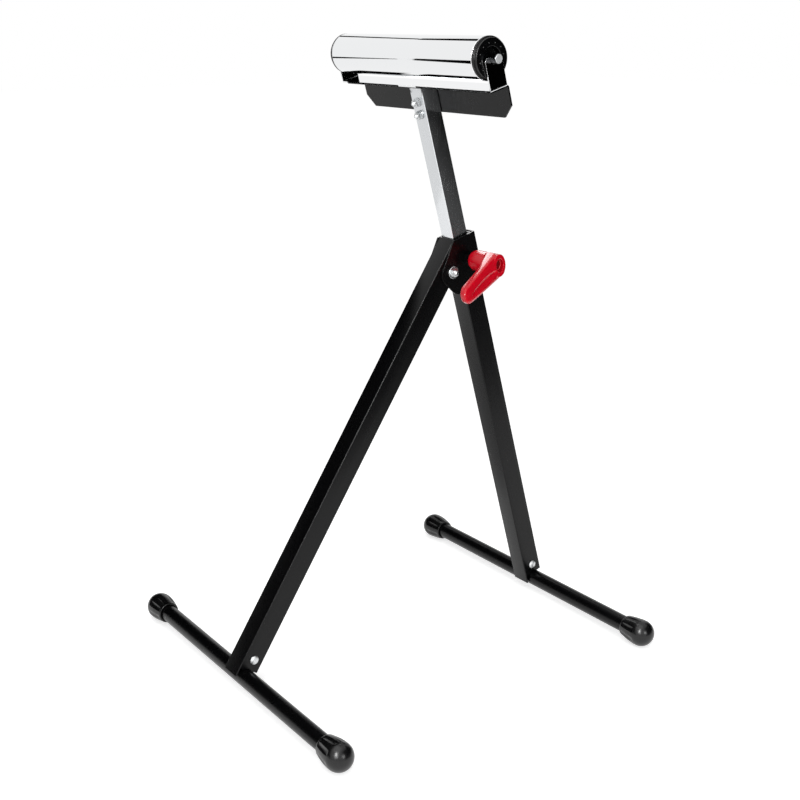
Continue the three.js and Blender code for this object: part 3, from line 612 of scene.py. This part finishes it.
def makeFeet():
    pattern = makeFootCap()
    for side, base in (("rear", rearFrame), ("front", frontFrame)):
        makeFootBar(side, base)
        for end in ("right", "left"):
            node = f"{side}_cap_{end}"
            low, high = spanIn(base, node)
            mouth = low.x if end == "right" else high.x
            startAlone(pattern)
            bpy.ops.object.duplicate()
            cap = bpy.context.object
            cap.name = f"{side}Cap{end.title()}"
            settle(cap, base, (mouth, 0, 0), end)
            dress(cap, bodyOf[node], "rubber", capRubber, node)
    bpy.data.objects.remove(pattern, do_unlink=True)


makeFeet()
print("feet done")


# Fasteners, each made round Z with its seat at zero
def makeDomeBolt(name, spec, length, recessed):
    radius, rise, shank = spec["head"] / 2, spec["headHeight"], spec["shank"] / 2
    tip = -length
    threadTop = tip + spec["thread"]
    rim, straight = 0.3, 0.35  # mm off the edge of the seat, and the share of the head below its dome
    profile = [(shank * 0.5, tip), (shank * 0.72, tip + 0.6)]
    profile += threadPoints(shank, tip + 1, threadTop, spec["pitch"])
    profile += [(shank, threadTop + 0.5), (shank, 0), (radius - rim, 0), (radius, rim)]
    profile.append((radius, rise * straight))
    for i in range(1, 9):
        angle = math.radians(i * 10.5)
        profile.append((radius * math.cos(angle), rise * (straight + (1 - straight) * math.sin(angle))))
    boltPiece = turnProfile(name, profile, 64, smooth=35)
    # a cross recess, cut by two crossed blades
    recessTurn, bladeLong, bladeWide = 25, 1.05, 0.22  # degrees, and shares of the head's radius
    for turn in (0, 90) if recessed else ():
        bpy.ops.object.select_all(action="DESELECT")
        bpy.ops.mesh.primitive_cube_add(size=mm, location=(0, 0, rise * mm),
                                        rotation=(0, 0, math.radians(turn + recessTurn)))
        blade = bpy.context.object
        blade.scale = (radius * bladeLong, radius * bladeWide, rise)
        applyPlace(blade)
        carve(boltPiece, blade)
    smoothFaces(boltPiece, 35)
    return boltPiece


def makeHexagon(name, flats, height, bore, collar=0, chamfer=0.8):
    corner = flats / math.sqrt(3)
    bpy.ops.object.select_all(action="DESELECT")
    bpy.ops.mesh.primitive_cylinder_add(vertices=6, radius=corner * mm, depth=height * mm,
                                        location=(0, 0, height / 2 * mm))
    hexagon = bpy.context.object
    hexagon.name = name
    bpy.ops.object.transform_apply(location=True)
    # a cone over each end takes the corners off
    outside, inside, slope = corner + 0.05, flats / 2 - 0.1, chamfer * 0.6
    cone = [(inside, -0.01), (outside, slope), (outside, height - slope), (inside, height + 0.01)]
    carve(hexagon, turnProfile("cone", cone, 64), "INTERSECT")
    top = height + collar
    if collar:
        ring, edge = flats * 0.43, 0.8
        ringProfile = [(flats * 0.3, height / 2), (ring, height / 2), (ring, top - edge)]
        ringProfile += arc(ring - edge, top - edge, edge, 10, 90, 4)
        ringProfile += [(bore / 2 + 0.2, top), (bore / 2 + 0.1, height / 2)]
        carve(hexagon, turnProfile("collar", ringProfile, 64), "UNION")
    if bore:
        sink = 0.8
        hole = [(bore / 2 + sink, -0.1), (bore / 2, sink), (bore / 2, top + 1)]
        carve(hexagon, turnProfile("hole", hole, 48))
    smoothFaces(hexagon, 30)
    return hexagon


def makeWasher(name, outer, bore, height):
    edge = 0.3
    outside, inside = outer / 2, bore / 2
    profile = [(inside, 0), (outside - edge, 0), (outside, edge), (outside, height - edge),
               (outside - edge, height), (inside + edge, height), (inside, height - edge), (inside, 0)]
    return turnProfile(name, profile, 64, closed=True, smooth=25)


footBolt = {"head": 12, "headHeight": 4, "shank": 6, "thread": 12, "pitch": 1, "nut": 10}
headBolt = {"head": 11, "headHeight": 3.6, "shank": 6, "thread": 16, "pitch": 1, "nut": 10}
hingeBolt = {"head": 10, "headHeight": 4, "shank": 6, "thread": 12, "pitch": 1, "nut": 10, "nutHeight": 3.6,
             "collar": 1.4}
nutPlay = 0.6  # bore of a nut or washer over its bolt


def makeFootBolts(side, base):
    low, high = spanIn(base, f"{side}_foot_bolt")
    seat = high.x - footBolt["headHeight"]
    boltPiece = makeDomeBolt(f"{side}FootBolt", footBolt, seat - low.x, False)
    across = crossMiddle(low, high)
    settle(boltPiece, base, (seat, *across), "right")
    dress(boltPiece, bodyOf[f"{side}_foot_bolt"], "zinc", dullZinc, f"{side}_foot_bolt")
    nutLow, nutHigh = spanIn(base, f"{side}_foot_nut")
    nutPiece = makeHexagon(f"{side}FootNut", footBolt["nut"], nutHigh.x - nutLow.x,
                           footBolt["shank"] + nutPlay)
    settle(nutPiece, base, (nutHigh.x, *across), "left")
    dress(nutPiece, bodyOf[f"{side}_foot_nut"], "zinc", zincPlate, f"{side}_foot_nut")


def makeHeadBolts():
    for level in ("upper", "lower"):
        low, high = spanIn(rearFrame, f"head_bolt_{level}")
        seat = high.y - headBolt["headHeight"]
        height = (low.z + high.z) / 2
        boltPiece = makeDomeBolt(f"headBolt{level.title()}", headBolt, seat - low.y, True)
        settle(boltPiece, rearFrame, (0, seat, height), "back")
        dress(boltPiece, bodyOf[f"head_bolt_{level}"], "zinc", zincPlate, f"head_bolt_{level}")
        washLow, washHigh = spanIn(rearFrame, f"head_washer_{level}")
        washer = makeWasher(f"headWasher{level.title()}", washHigh.x - washLow.x, headBolt["shank"] + nutPlay,
                            washHigh.y - washLow.y)
        settle(washer, rearFrame, (0, washHigh.y, height), "front")
        dress(washer, bodyOf[f"head_washer_{level}"], "zinc", zincPlate, f"head_washer_{level}")
        nutLow, nutHigh = spanIn(rearFrame, f"head_nut_{level}")
        nutPiece = makeHexagon(f"headNut{level.title()}", headBolt["nut"], nutHigh.y - nutLow.y,
                               headBolt["shank"] + nutPlay)
        settle(nutPiece, rearFrame, (0, nutHigh.y, height), "front")
        dress(nutPiece, bodyOf[f"head_nut_{level}"], "zinc", zincPlate, f"head_nut_{level}")


def makeHinge():
    low, high = spanIn(rearFrame, "pivot_bolt")
    across = crossMiddle(low, high)
    shank = hingeBolt["shank"] / 2
    seat = low.x + hingeBolt["headHeight"]
    tip = seat - high.x
    threadTop = tip + hingeBolt["thread"]
    boltPiece = makeHexagon("hingeBolt", hingeBolt["head"], hingeBolt["headHeight"], 0)
    profile = [(shank * 0.9, 0.4), (shank, 0), (shank, threadTop)]
    profile += threadPoints(shank, threadTop, tip + 1, hingeBolt["pitch"])
    profile += [(shank * 0.72, tip + 0.4), (shank * 0.6, tip)]
    carve(boltPiece, turnProfile("shank", profile, 48), "UNION")
    smoothFaces(boltPiece, 30)
    settle(boltPiece, rearFrame, (seat, *across), "left")
    dress(boltPiece, bodyOf["pivot_bolt"], "zinc", zincPlate, "pivot_bolt")
    for end in ("left", "right"):
        washLow, washHigh = spanIn(rearFrame, f"pivot_washer_{end}")
        washer = makeWasher(f"hingeWasher{end.title()}", washHigh.z - washLow.z, hingeBolt["shank"] + nutPlay,
                            washHigh.x - washLow.x)
        face = washLow.x if end == "right" else washHigh.x
        settle(washer, rearFrame, (face, *across), end)
        dress(washer, bodyOf[f"pivot_washer_{end}"], "zinc", zincPlate, f"pivot_washer_{end}")
    nutSeat = spanIn(rearFrame, "pivot_nut")[0].x
    nutPiece = makeHexagon("hingeLockNut", hingeBolt["nut"], hingeBolt["nutHeight"],
                           hingeBolt["shank"] + nutPlay, hingeBolt["collar"])
    settle(nutPiece, rearFrame, (nutSeat, *across), "right")
    dress(nutPiece, bodyOf["pivot_nut"], "zinc", zincPlate, "pivot_nut")


makeFootBolts("rear", rearFrame)
makeFootBolts("front", frontFrame)
makeHeadBolts()
makeHinge()
print("fasteners done")


# Clamp: a welded nut, a threaded stud and the moulded lever
clamp = {"nut": 17, "nutChamfer": 1.2, "stud": 5, "pitch": 1.5, "tip": 1}
lever = {"voxel": 0.6, "smooth": 6, "turn": 2.2, "rise": 21.5, "height": 53.8,
         "grooveAt": 44, "grooveHalf": 36, "grooveWide": 5.5, "grooveDeep": 2, "grooveLow": 2.5}


def makeClampSet():
    low, high = spanIn(rearFrame, "clamp_stud")
    across = crossMiddle(low, high)
    nutLow, nutHigh = spanIn(rearFrame, "clamp_nut")
    nutPiece = makeHexagon("clampWeldNut", clamp["nut"], nutHigh.x - nutLow.x, 2 * clamp["stud"] + nutPlay,
                           chamfer=clamp["nutChamfer"])
    settle(nutPiece, rearFrame, (nutLow.x, *across), "right")
    dress(nutPiece, bodyOf["clamp_nut"], "black_paint", powderCoat, "clamp_nut")
    length = high.x - low.x
    radius = clamp["stud"]
    profile = [(radius * 0.7, 0), (radius * 0.85, clamp["tip"])]
    profile += threadPoints(radius, clamp["tip"] + 0.3, length - 1, clamp["pitch"])
    profile.append((radius * 0.8, length))
    stud = turnProfile("clampStud", profile, 48, smooth=25)
    settle(stud, rearFrame, (low.x, *across), "right")
    dress(stud, bodyOf["clamp_stud"], "zinc", zincPlate, "clamp_stud")
    return across


def makeLever(across):
    p = lever
    arm = copyNode("clamp_lever", "clampLever")
    top = spanIn(rearFrame, "clamp_lever")[0].x + p["height"]
    # a finger groove along the lower half of the outer face
    bpy.ops.object.select_all(action="DESELECT")
    bpy.ops.mesh.primitive_uv_sphere_add(segments=64, ring_count=32, radius=mm)
    groove = bpy.context.object
    groove.scale = (p["grooveDeep"], p["grooveHalf"], p["grooveWide"])
    applyPlace(groove)
    rise = math.radians(p["rise"])
    outward = top + p["grooveAt"] * math.tan(rise)
    turn = Matrix.Rotation(math.radians(p["turn"]), 4, "X")
    place = Matrix.Translation(Vector((outward, -p["grooveAt"], -p["grooveLow"])) * mm)
    groove.matrix_world = (rearFrame @ Matrix.Translation(Vector((0, *across)) * mm) @ turn @ place
                           @ Matrix.Rotation(rise, 4, "Z"))
    applyPlace(groove)
    carve(arm, groove)
    remesh = arm.modifiers.new("skin", "REMESH")
    remesh.mode = "VOXEL"
    remesh.voxel_size = p["voxel"] * mm
    applyModifier(arm, remesh)
    soften = arm.modifiers.new("soften", "SMOOTH")
    soften.factor = 0.5
    soften.iterations = p["smooth"]
    applyModifier(arm, soften)
    startAlone(arm)
    bpy.ops.object.shade_smooth()
    dress(arm, bodyOf["clamp_lever"], "red_plastic", redNylon, "clamp_lever")


makeLever(makeClampSet())
print("clamp done")


# Nodes that stay as packed, out of sight inside the tubes, take the same finishes
for node, obj in frame["nodes"].items():
    if obj.hide_render:
        continue
    slotName = next(row["material_slot"] for row in frame["record"]["subparts"] if row["node"] == node)
    obj.data.materials.clear()
    obj.data.materials.append(slotLooks[slotName])
print("inner nodes done")


# Studio: a white surround and floor, soft lamps, and cards that only the shiny surfaces see
studio = {"floorColour": "#f2f2f2", "floorGlow": 0.64, "fill": 0.42,
          "cardColour": "#030303", "cardLift": 0.002, "flagHeight": 0.57, "flagGlow": 1.0}
white = (1, 1, 1, 1)


def shownRays(tree):  # 1 for what the camera sees, straight on, mirrored or through glass
    path = addNode(tree, "LightPath")
    seen = addNode(tree, "Math", {}, {0: path.outputs["Is Camera Ray"], 1: path.outputs["Is Glossy Ray"]},
                   operation="ADD")
    shown = addNode(tree, "Math", {}, {0: seen.outputs["Value"], 1: path.outputs["Is Transmission Ray"]},
                    operation="ADD", use_clamp=True)
    return shown.outputs["Value"]


def startMatt(name, baseColour):  # a dead matt surface that glows white, once its strength is set
    material, tree, shader, place = startMaterial(name, baseColour, 0, 0)
    shader.inputs["Roughness"].default_value = 1
    shader.inputs["Emission Color"].default_value = white
    return material, tree, shader.inputs["Emission Strength"], place


def makeFloor():
    bpy.ops.object.select_all(action="DESELECT")
    bpy.ops.mesh.primitive_plane_add(size=30)
    floor = bpy.context.object
    floor.name = "studioFloor"
    material, tree, strength, place = startMatt("paleStudioFloor", studio["floorColour"])
    glow = addNode(tree, "Math", {1: studio["floorGlow"]}, {0: shownRays(tree)}, operation="MULTIPLY")
    tree.links.new(glow.outputs["Value"], strength)
    floor.data.materials.append(material)


def makeCard(name, corners, look):  # a card that the camera and the diffuse light pass by
    bpy.ops.object.select_all(action="DESELECT")
    bpy.ops.mesh.primitive_plane_add(size=1)
    card = bpy.context.object
    card.name = name
    for vertex, corner in zip(card.data.vertices, corners):
        vertex.co = corner
    card.data.materials.append(look)
    card.visible_camera = False
    card.visible_diffuse = False
    card.visible_shadow = False


def lying(left, right, near, far, height=studio["cardLift"]):  # corners of a level card
    return [(x, y, height) for y in (near, far) for x in (left, right)]


def standing(start, end, low, high):  # corners of an upright card between two points of the floor plan
    return [(*point, height) for height in (low, high) for point in (start, end)]


def makePlainCard(name, glow=0.0):
    material, tree, strength, place = startMatt(name, studio["cardColour"])
    strength.default_value = glow
    return material


# Cards beside the stand darken outward and upward, so that legs and post are darkest at their tops
def makeFadingCard(name, axis, start, end, glow):
    material, tree, strength, place = startMatt(name, studio["cardColour"])
    axes = addNode(tree, "SeparateXYZ", {}, {"Vector": place})
    fade = addNode(tree, "MapRange", {"From Min": start, "From Max": end, "To Min": glow, "To Max": 0.0},
                   {"Value": axes.outputs[axis]})
    tree.links.new(fade.outputs["Result"], strength)
    return material


# Studio flag: white above for the roller and the post, black below for the painted legs
def makeFlagCard():
    material, tree, strength, place = startMatt("studioFlag", studio["cardColour"])
    side = addNode(tree, "NewGeometry").outputs["Backfacing"]
    glow = addNode(tree, "MapRange", {"To Min": studio["flagGlow"], "To Max": 0.0}, {"Value": side})
    tree.links.new(glow.outputs["Result"], strength)
    return material


def makeLamp(name, place, target, size, power):
    light = bpy.data.lights.new(name, "AREA")
    light.shape = "RECTANGLE"
    light.size, light.size_y = size
    light.energy = power
    lamp = bpy.data.objects.new(name, light)
    lamp.location = place
    lamp.rotation_euler = (Vector(target) - Vector(place)).to_track_quat("-Z", "Y").to_euler()
    bpy.context.collection.objects.link(lamp)


makeFloor()
darkCard = makePlainCard("darkCard")
fadingCard = makeFadingCard("outwardFade", "X", start=1.3, end=2.05, glow=0.15)
risingCard = makeFadingCard("upwardFade", "Z", start=0.05, end=0.6, glow=0.112)
flag = studio["flagHeight"]
makeCard("sideFloorCard", lying(0.85, 4.5, 0.25, 1.8), fadingCard)
makeCard("backFloorCard", lying(-0.6, 4.5, 1.8, 4.0), darkCard)
makeCard("backWallCard", standing((1.2, 4.0), (-0.9, 4.0), 0, 4.0), darkCard)
makeCard("sideWallCard", standing((3.0, 0.2), (1.2, 4.0), 0, 4.0), risingCard)
makeCard("rearBarCard", standing((-1.1, 0.6), (-0.15, 0.6), 0.3, 0.62), darkCard)
makeCard("legFloorCard", lying(-0.75, -0.17, -0.25, 0.12), makePlainCard("legFloorGrey", glow=0.66))
makeCard("flagCard", lying(-8, -0.11, -8, 0.35, flag), makeFlagCard())

# Dark strips that draw the two long lines on the roller, low ones just above the flag and high ones behind,
# and two that darken the gap under the roller on either side of the post
low, high = flag + 0.005, 1.643
strips = {
    "lowWedge": [(-0.27, -0.36, low), (-1.0, -1.16, low), (-0.80, -0.585, low), (-1.42, -1.08, low)],
    "lowStrip": [(-0.94, -0.65, low), (-1.08, -0.755, low), (-0.86, -0.33, low), (-1.28, -0.61, low)],
    "highWedge": [(-0.72, 0.105, high), (-0.80, 0.43, high), (-1.03, 0.115, high), (-1.07, 0.30, high)],
    "highStrip": [(-1.03, 0.15, high), (-1.07, 0.27, high), (-1.56, 0.38, high), (-1.74, 0.63, high)],
    "gapLeft": standing((-0.15, 0.0205), (-0.03, 0.0205), 0.765, 0.79),
    "gapRight": standing((0.008, 0.0205), (0.158, 0.0205), 0.765, 0.79),
}
for name, corners in strips.items():
    makeCard(f"{name}Card", corners, darkCard)

# Bright strips: one catches the front corner of the legs and bars, one the upper facet of the lever
makeCard("cornerStripCard", standing((0.95, -1.9), (1.3, -1.55), 1.2, 2.6),
         makePlainCard("cornerGlow", glow=30))
makeCard("leverGlowCard", standing((-0.15, 0.12), (-0.15, 0.26), 0.64, 0.84),
         makePlainCard("leverGlow", glow=6))

standMiddle = (0, 0.05, 0.5)
makeLamp("topSoftbox", (0.2, -0.6, 2.6), standMiddle, size=(2.2, 2.2), power=16)
makeLamp("frontSoftbox", (1.53, -2.0, 1.23), standMiddle, size=(0.8, 0.8), power=13)
makeLamp("sideSoftbox", (2.48, -0.05, 1.09), standMiddle, size=(0.8, 0.8), power=11)

world = bpy.data.worlds.new("whiteSurround")
bpy.context.scene.world = world
world.use_nodes = True
tree = world.node_tree
background = tree.nodes["Background"]
strength = addNode(tree, "MapRange", {"To Min": studio["fill"], "To Max": 1.0}, {"Value": shownRays(tree)})
background.inputs["Color"].default_value = white
tree.links.new(strength.outputs["Result"], background.inputs["Strength"])
print("studio done")


# Camera, fitted to the photograph
view = {"place": (1.29299, -0.94919, 0.85790), "azimuth": 53.5386, "elevation": 17.2868, "roll": 0.2338,
        "lens": 54.1417, "sensor": 36}
azimuth, elevation, roll = (math.radians(view[key]) for key in ("azimuth", "elevation", "roll"))
right = Vector((math.cos(azimuth), math.sin(azimuth), 0))
back = Vector((math.sin(azimuth) * math.cos(elevation), -math.cos(azimuth) * math.cos(elevation),
               math.sin(elevation)))
up = back.cross(right)
tiltRight = right * math.cos(roll) + up * math.sin(roll)
tiltUp = up * math.cos(roll) - right * math.sin(roll)
lens = bpy.data.cameras.new("photoCamera")
lens.lens = view["lens"]
lens.sensor_width = view["sensor"]
lens.clip_end = 60
camera = bpy.data.objects.new("photoCamera", lens)
bpy.context.collection.objects.link(camera)
camera.matrix_world = Matrix((tiltRight, tiltUp, back)).transposed().to_4x4()
camera.location = view["place"]
bpy.context.scene.camera = camera
bpy.context.scene.view_settings.view_transform = "Standard"
print("camera done")
